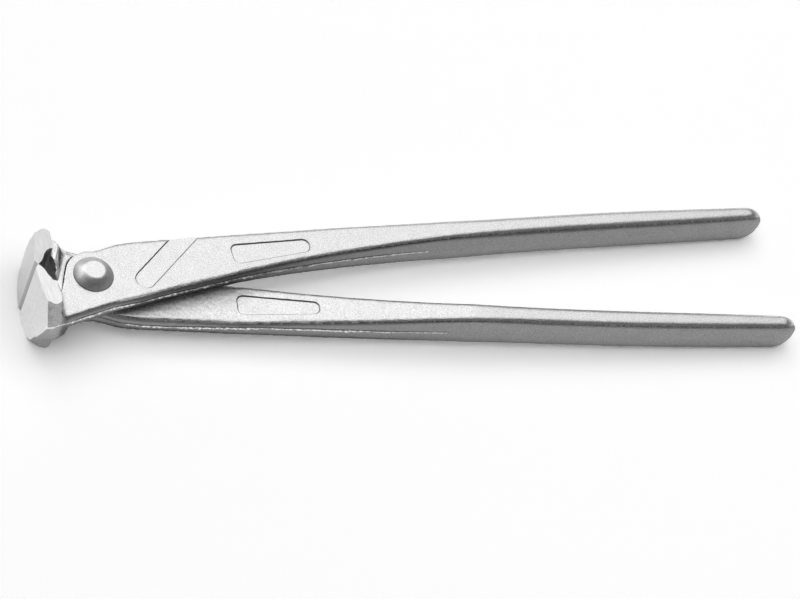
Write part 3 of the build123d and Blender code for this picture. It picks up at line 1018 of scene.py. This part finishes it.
def forged_steel():
    """Three finishes mixed by the masks: blasted top, flank and ground face."""
    material, tree, shader = new_material("forged_steel")
    spot = tree.nodes.new("ShaderNodeTexCoord").outputs["Object"]
    peel = add_noise(tree, spot, peel_scale, 2.0, 0.6)
    grain = add_noise(tree, spot, grain_scale, 2.0, 0.5)
    cloud = add_noise(tree, spot, cloud_scale, 2.0, 0.5)
    scratch_line = tree.nodes.new("ShaderNodeMapping")
    scratch_line.inputs["Rotation"].default_value = (scratch_turn, 0, 0)
    scratch_line.inputs["Scale"].default_value = scratch_stretch
    tree.links.new(spot, scratch_line.inputs["Vector"])
    scratch = add_noise(tree, scratch_line.outputs["Vector"], scratch_scale, 2.0, 0.6)
    ragged = add_noise(tree, spot, ragged_scale, 2.0, 0.6)
    flank = add_mask(tree, "flank")
    torn_edge = add_math(tree, "MULTIPLY", flank, add_range(tree, ragged, 0.3, 0.7, 0.1, 2.4))
    whole_wall = add_math(tree, "MULTIPLY", add_math(tree, "POWER", flank, 3.0), 0.5)
    flank = add_range(tree, add_math(tree, "ADD", torn_edge, whole_wall), 0.25, 0.55, 0.0, 1.0)
    ground = add_mask(tree, "ground")
    stone = add_mask(tree, "stone")
    # Painted shade: the pits are darker inside as well as bumped.
    pits = add_range(tree, peel, 0.28, 0.72, pit_shade_grey, blasted_grey)
    patchy = add_range(tree, peel, 0.35, 0.65, 0.80, 1.20)
    # The skin mask brings the walls' grey with its painted light and shade.
    walls = add_math(tree, "MULTIPLY", add_mask(tree, "skin"), patchy)
    grey = add_mix(tree, flank, pits, walls)
    grey = add_math(tree, "MULTIPLY", grey, add_range(tree, cloud, 0.3, 0.7, 0.97, 1.03))
    stone = add_math(tree, "MULTIPLY", stone, add_range(tree, scratch, 0.35, 0.62, 0.84, 1.04))
    grey = add_mix(tree, ground, grey, stone)
    blasted_rough = add_range(tree, grain, 0.3, 0.7, 0.32, 0.42)
    rough = add_mix(tree, flank, blasted_rough, add_range(tree, grain, 0.3, 0.7, 0.42, 0.54))
    rough = add_mix(tree, ground, rough, add_range(tree, scratch, 0.3, 0.7, 0.28, 0.36))
    peel_depth = add_math(tree, "MULTIPLY", peel, 0.85)
    height = add_math(tree, "ADD", peel_depth, add_math(tree, "MULTIPLY", grain, 0.25))
    height = add_mix(tree, ground, height, add_math(tree, "MULTIPLY", scratch, 0.16))
    finish_surface(tree, shader, grey, rough, height)
    return material


print("grey of the blasted face:", pit_shade_grey, "to", blasted_grey)

# %% [markdown]
# The flash line and the rivet have steels of their own. The flash is torn, so it glints in spots and
# is dull in between. The rivet is satin and even, and its grey, painted shade included, comes from its
# mask.

# %% Torn and pressed steel
tear_scale = 1300.0
torn_grain_scale = 4200.0
rivet_grain_scale = 2600.0


def torn_steel():
    """Flash line: bright where the trimming tool sheared it, dull in between."""
    material, tree, shader = new_material("trimmed_flash")
    spot = tree.nodes.new("ShaderNodeTexCoord").outputs["Object"]
    tear = add_noise(tree, spot, tear_scale, 2.0, 0.6)
    grain = add_noise(tree, spot, torn_grain_scale, 2.0, 0.5)
    finish_surface(
        tree, shader, add_range(tree, tear, 0.36, 0.56, 0.40, 0.90),
        add_range(tree, grain, 0.3, 0.7, 0.34, 0.46), add_math(tree, "MULTIPLY", tear, 0.8),
    )
    return material


def rivet_steel():
    """Pressed rivet: satin and even, with a faint grain."""
    material, tree, shader = new_material("rivet_steel")
    spot = tree.nodes.new("ShaderNodeTexCoord").outputs["Object"]
    grain = add_noise(tree, spot, rivet_grain_scale, 2.0, 0.55)
    grey = add_math(tree, "MULTIPLY", add_mask(tree, "skin"), add_range(tree, grain, 0.3, 0.7, 0.86, 1.10))
    finish_surface(
        tree, shader, grey,
        add_range(tree, grain, 0.3, 0.7, 0.42, 0.52), add_math(tree, "MULTIPLY", grain, 0.45),
    )
    return material


forged = forged_steel()
for half in halves.values():
    half.data.materials.clear()
    half.data.materials.append(forged)
torn = torn_steel()
for bead in flash:
    bead.data.materials.append(torn)
rivet.data.materials.append(rivet_steel())
print("materials:", sorted(material.name for material in bpy.data.materials))

# %% [markdown]
# The camera repeats the photograph's. Its place and turn were solved from the two equal halves of
# the tool: 0.97 m from the rivet, a little over half-way up to overhead, and rolled so that the tool
# lies across. Its place is in millimetres from the rivet, its turns in radians.

# %% Camera
azimuth = 0.604920
elevation = 0.900068
roll = 0.479725
camera_place = np.array([-255.11, -517.69, 783.37])
focal_length = 145.28
film_width = 36.0
nearest, furthest = 0.05, 50.0
back = np.array([
    -math.sin(azimuth) * math.cos(elevation), -math.cos(azimuth) * math.cos(elevation), math.sin(elevation),
])
level = np.array([math.cos(azimuth), -math.sin(azimuth), 0.0])
above = np.cross(back, level)
picture_right = math.cos(roll) * level + math.sin(roll) * above
picture_up = -math.sin(roll) * level + math.cos(roll) * above
lens = bpy.data.cameras.new("photo_camera")
lens.lens = focal_length
lens.sensor_width = film_width
lens.sensor_fit = "HORIZONTAL"
lens.clip_start = nearest
lens.clip_end = furthest
camera = bpy.data.objects.new("photo_camera", lens)
bpy.context.scene.collection.objects.link(camera)
turn = np.eye(4)
turn[:3, 0] = picture_right
turn[:3, 1] = picture_up
turn[:3, 2] = back
turn[:3, 3] = camera_place * millimetre + rivet_centre
camera.matrix_world = Matrix(turn.tolist())
bpy.context.scene.camera = camera
print("camera stands at", turn[:3, 3].round(4))

# %% [markdown]
# The tool lies on the ends of its jaws and on its handle ends, so the table falls away a little
# towards the jaws. The floor is a pale round sheet, flat in the middle, that curves up far away into a
# low wall, so that no edge shows behind the tool.

# %% Floor
jaw_rest = (-15.0, -12.6)
grip_rest = (225.0, -6.6)
floor_slope = (grip_rest[1] - jaw_rest[1]) / (grip_rest[0] - jaw_rest[0])
floor_middle = 110.0
flat_reach = 2600.0
flat_rings = 14
curl = 500.0
curl_turn = np.linspace(0.1, 1.5, 12)
wall_rise = (1.3 * curl, 1.8 * curl)
floor_reach = np.concatenate([
    np.linspace(0, flat_reach, flat_rings), flat_reach + curl * np.sin(curl_turn),
    np.full(len(wall_rise), flat_reach + curl),
])
floor_rise = np.concatenate([np.zeros(flat_rings), curl - curl * np.cos(curl_turn), wall_rise])
around = np.linspace(0, 2 * np.pi, 96, endpoint=False)
floor_rows = np.stack([
    floor_middle + floor_reach[:, None] * np.cos(around),
    floor_reach[:, None] * np.sin(around),
    np.repeat(floor_rise[:, None], len(around), axis=1),
], axis=-1)
floor_rows[..., 2] += jaw_rest[1] + (floor_rows[..., 0] - jaw_rest[0]) * floor_slope
table = add_piece("studio_table", grid_mesh("studio_table", floor_rows))
table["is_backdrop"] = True
print("table falls", round(floor_slope * 1000, 1), "mm in a metre towards the jaws")

# %% [markdown]
# A white table in a high-key photograph burns out to pure white, and its shadows stay. So camera,
# glossy and transmission rays see the sheet brighter than any real white. Diffuse rays, which carry
# light from one part of the sheet to another, see a plain white, so light doesn't grow as it bounces.

# %% White of the floor
floor_given = 0.8
floor_seen = 1.35


def pale_table():
    """White sheet with one colour for the light it gives back and a brighter one where it is seen."""
    material = bpy.data.materials.new("pale_table")
    material.use_nodes = True
    tree = material.node_tree
    tree.nodes.clear()
    out = tree.nodes.new("ShaderNodeOutputMaterial")
    sheet = tree.nodes.new("ShaderNodeBsdfDiffuse")
    light = tree.nodes.new("ShaderNodeLightPath")
    seen = add_math(tree, "MAXIMUM", light.outputs["Is Camera Ray"], light.outputs["Is Glossy Ray"])
    seen = add_math(tree, "MAXIMUM", seen, light.outputs["Is Transmission Ray"])
    shade = add_range(tree, seen, 0.0, 1.0, floor_given, floor_seen)
    tree.links.new(shade, sheet.inputs["Color"])
    tree.links.new(sheet.outputs["BSDF"], out.inputs["Surface"])
    return material


table.data.materials.append(pale_table())
print("floor gives back", floor_given, "and is seen as", floor_seen)

# %% [markdown]
# Light: one wide soft box high beyond the tool, so that the flat faces mirror it and turn nearly
# white, and a smaller one at the jaws' side. Both light the steel and not the table. The near side
# overhead stays dim in the steel, and that is what draws the dark line along every rounded edge. A
# third box overhead is for the table alone: the steel doesn't mirror it, and it keeps the shadows
# short and close to the tool. Places and sizes are in metres.

# %% Lights


def soft_box(name, centre, width, height, brightness):
    """Area lamp that faces the tool, given by how bright its face looks: its power is brightness
    times pi times its area. The camera doesn't see it."""
    lamp = bpy.data.lights.new(name, "AREA")
    lamp.shape = "RECTANGLE"
    lamp.size = width
    lamp.size_y = height
    lamp.energy = brightness * math.pi * width * height
    box = bpy.data.objects.new(name, lamp)
    bpy.context.scene.collection.objects.link(box)
    away = np.array(centre) / np.linalg.norm(centre)
    across = np.cross([0, 0, 1], away)
    across /= np.linalg.norm(across)
    facing = np.eye(4)
    facing[:3, 0] = across
    facing[:3, 1] = np.cross(away, across)
    facing[:3, 2] = away
    facing[:3, 3] = centre
    box.matrix_world = Matrix(facing.tolist())
    box.visible_camera = False
    return box


main_box = soft_box("far_soft_box", (0.05, 0.72, 1.32), width=2.1, height=1.7, brightness=1.25)
jaw_box = soft_box("jaw_soft_box", (-1.35, 0.90, 0.72), width=1.8, height=1.2, brightness=2.3)
table_box = soft_box("overhead_table_box", (0.05, 0.10, 1.65), width=2.4, height=2.4, brightness=1.6)
main_box.visible_diffuse = False
jaw_box.visible_diffuse = False
table_box.visible_glossy = False
print("lamps:", main_box.name, jaw_box.name, table_box.name)

# %% [markdown]
# What the boxes leave dark is a dim, even room, which fills the steel's darkest edges a little.
# Standard view shows the greys as they are worked out.

# %% Room round the tool
room_grey = (0.9, 0.9, 0.9, 1)
room_strength = 0.10
world = bpy.data.worlds.new("dim_studio")
world.use_nodes = True
world.node_tree.nodes["Background"].inputs["Color"].default_value = room_grey
world.node_tree.nodes["Background"].inputs["Strength"].default_value = room_strength
bpy.context.scene.world = world
bpy.context.scene.view_settings.view_transform = "Standard"
print("room strength:", room_strength)

# %% [markdown]
# Last, the triangles of every shown piece are counted.

# %% Count the triangles
bpy.context.view_layer.update()
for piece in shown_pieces():
    print(piece.name, "triangles:", sum(len(face.vertices) - 2 for face in piece.data.polygons))
